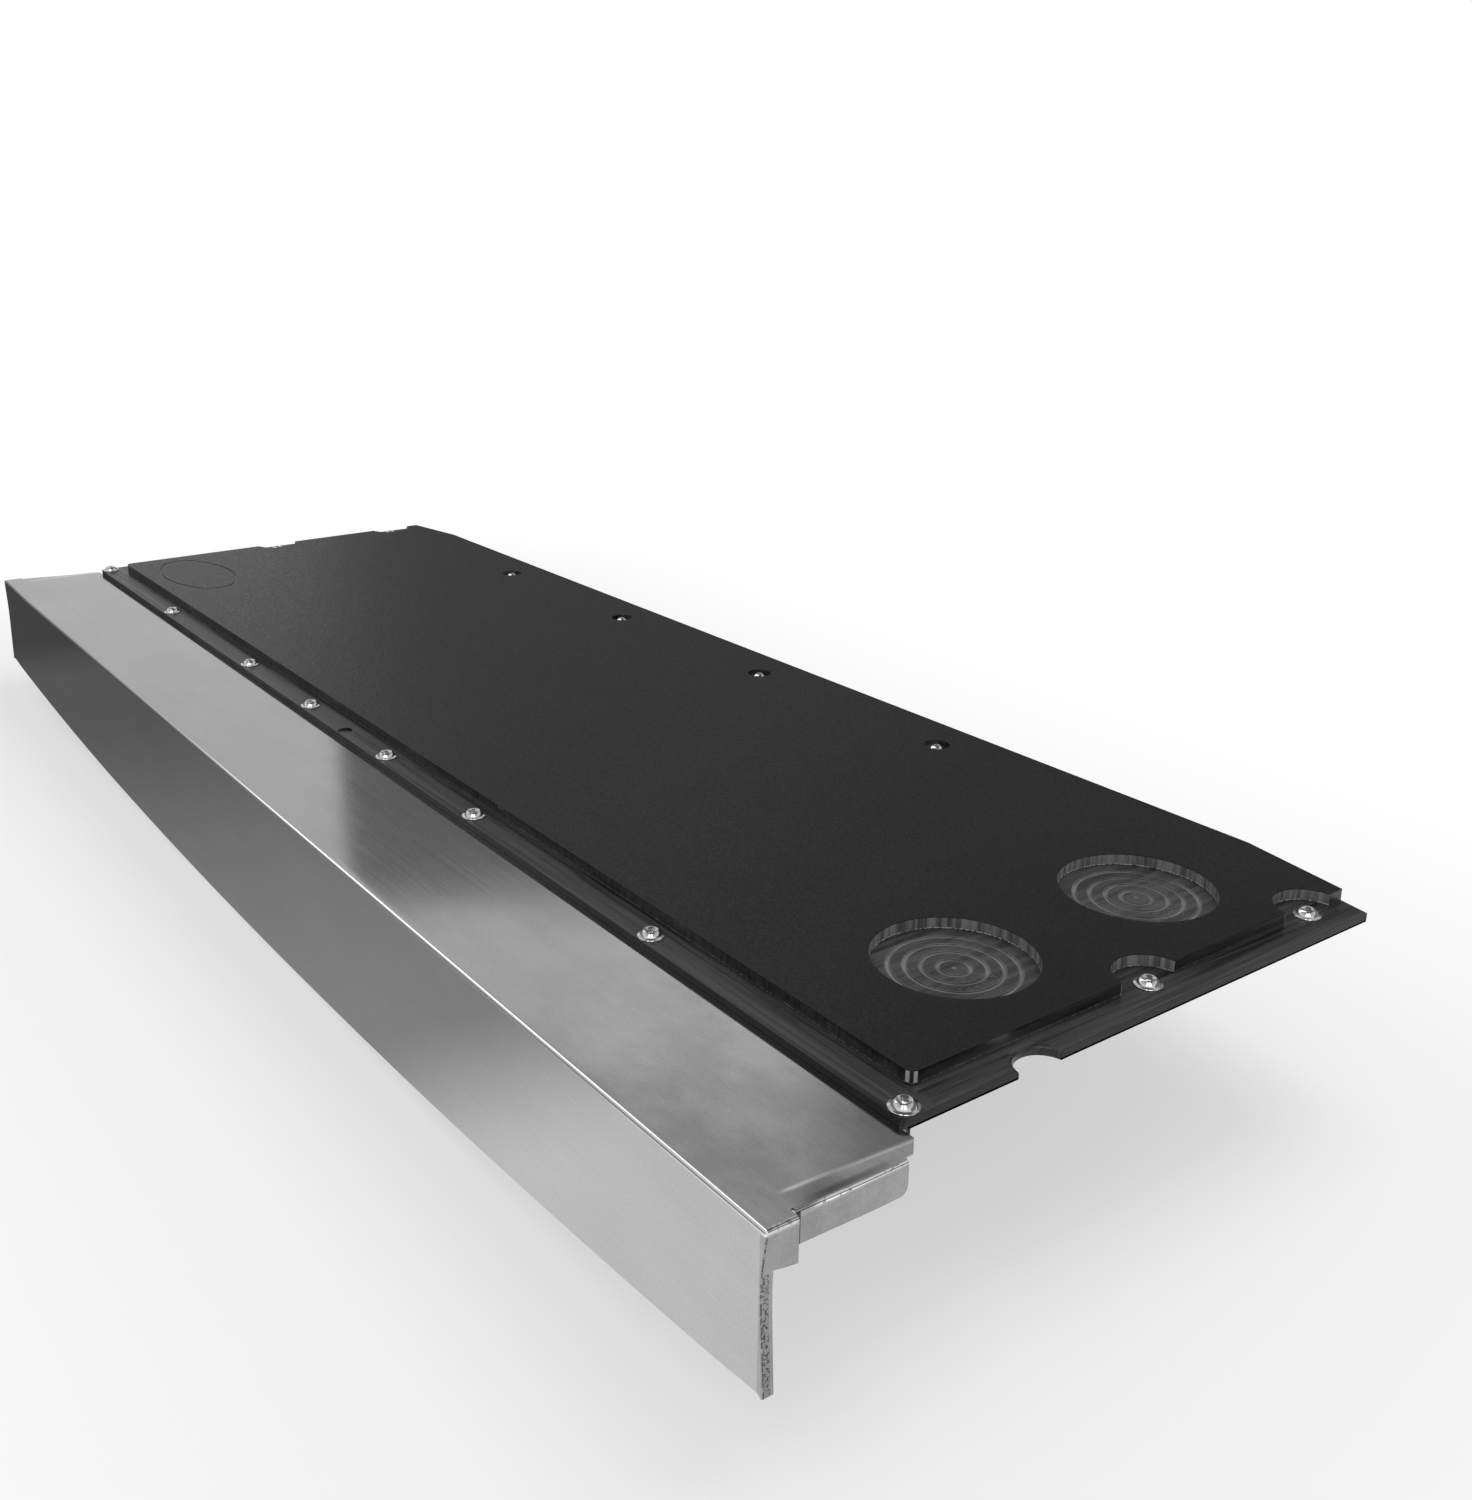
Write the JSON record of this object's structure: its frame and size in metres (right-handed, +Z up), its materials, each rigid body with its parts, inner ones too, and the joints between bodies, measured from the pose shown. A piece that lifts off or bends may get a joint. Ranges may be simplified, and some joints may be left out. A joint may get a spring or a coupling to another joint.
{
  "type": "tailgate table panel",
  "caption": "Routed plastic table panel for an open tailgate, with cup recesses, a folded sheet cap over the tailgate edge and flanged screws.",
  "frame": {"origin": "middle of the board's underside, the face that lies on the open tailgate", "axes": "+X along the panel towards the cup recesses, +Y from the edge cap towards the hinge side, +Z up out of the board's top"},
  "size_m": [1.447, 0.533, 0.1418],
  "materials": {
    "board_plastic": "black sheet plastic, fine pebble grain on top, machined ledges and recesses",
    "cap_sheet": "satin, brushed along its length",
    "flanged_screws": "bright stainless",
    "button_screws": "bright stainless"
  },
  "bodies": {
    "root": {"board": "board_plastic", "edge_cap": "cap_sheet", "front_screw_1": "flanged_screws", "front_screw_2": "flanged_screws", "front_screw_3": "flanged_screws", "front_screw_4": "flanged_screws", "front_screw_5": "flanged_screws", "front_screw_6": "flanged_screws", "front_screw_7": "flanged_screws", "front_screw_8": "flanged_screws", "end_screw_1": "flanged_screws", "end_screw_2": "flanged_screws", "end_screw_3": "flanged_screws", "end_screw_4": "flanged_screws", "table_screw_1": "button_screws", "table_screw_2": "button_screws", "table_screw_3": "button_screws", "table_screw_4": "button_screws"}
  },
  "joints": []
}
